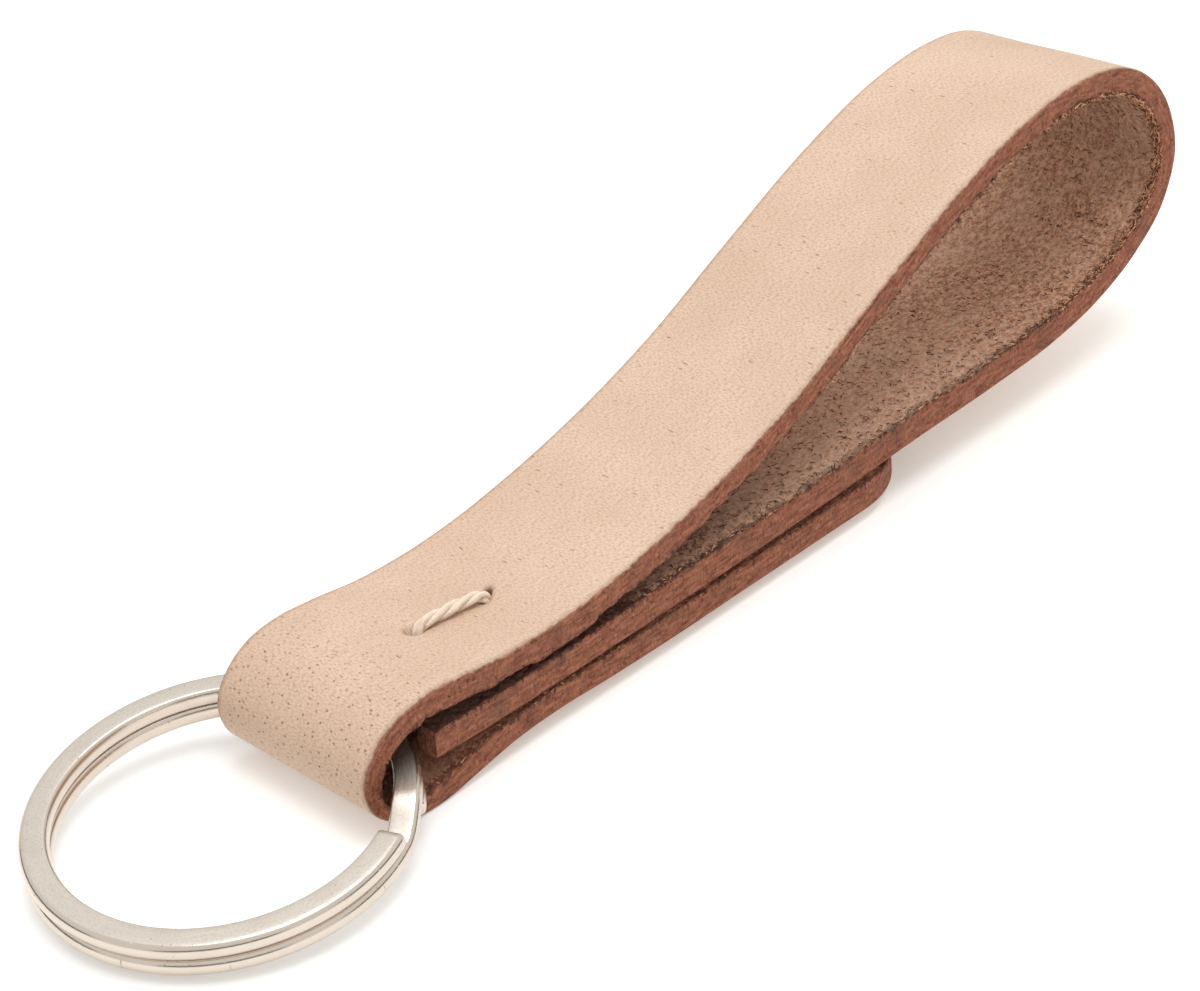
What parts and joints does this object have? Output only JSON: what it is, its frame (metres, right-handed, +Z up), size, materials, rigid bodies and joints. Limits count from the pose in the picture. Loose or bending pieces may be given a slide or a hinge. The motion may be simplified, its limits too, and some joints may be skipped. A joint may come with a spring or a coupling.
{
  "type": "leather key fob with split ring",
  "caption": "Folded leather strap key fob with an open grab loop, held by a short stitch, carrying a two-turn flat-wire split ring in its nose fold.",
  "frame": {"origin": "on the surface the fob lies on, under the middle of its bounding box", "axes": "+X along the strap from the ring towards the grab loop, +Y across the strap's width towards its far edge, +Z up from the surface it lies on"},
  "size_m": [0.1379, 0.0326, 0.0328],
  "materials": {
    "leather": "undyed vegetable-tanned leather, smooth grain outside, rough brown flesh inside, red-brown burnished cut edges",
    "nickel": "bright nickel plate, flat faces slightly satin with fine scratches, round sides glossy",
    "linen": "natural waxed linen thread, twisted plies"
  },
  "bodies": {
    "strap": {"leather_strap": "leather", "stitch_thread": "linen"},
    "ring": {"ring_coil": "nickel"},
    "ring_end": {"ring_free_end": "nickel"}
  },
  "joints": [
    {"name": "ring_turn", "type": "hinge", "parent": "strap", "child": "ring", "pos_m": [-0.05264, 0, 0.0036], "axis": [-0.0819, -0.0348, 0.996], "range_deg": [-117, 17]},
    {"name": "ring_spread", "type": "hinge", "parent": "ring", "child": "ring_end", "pos_m": [-0.06878, 0.00189, 0.00234], "axis": [-0.1128, -0.9926, -0.0439], "range_deg": [0, 6], "stiffness_Nm_per_rad": 1.5}
  ]
}
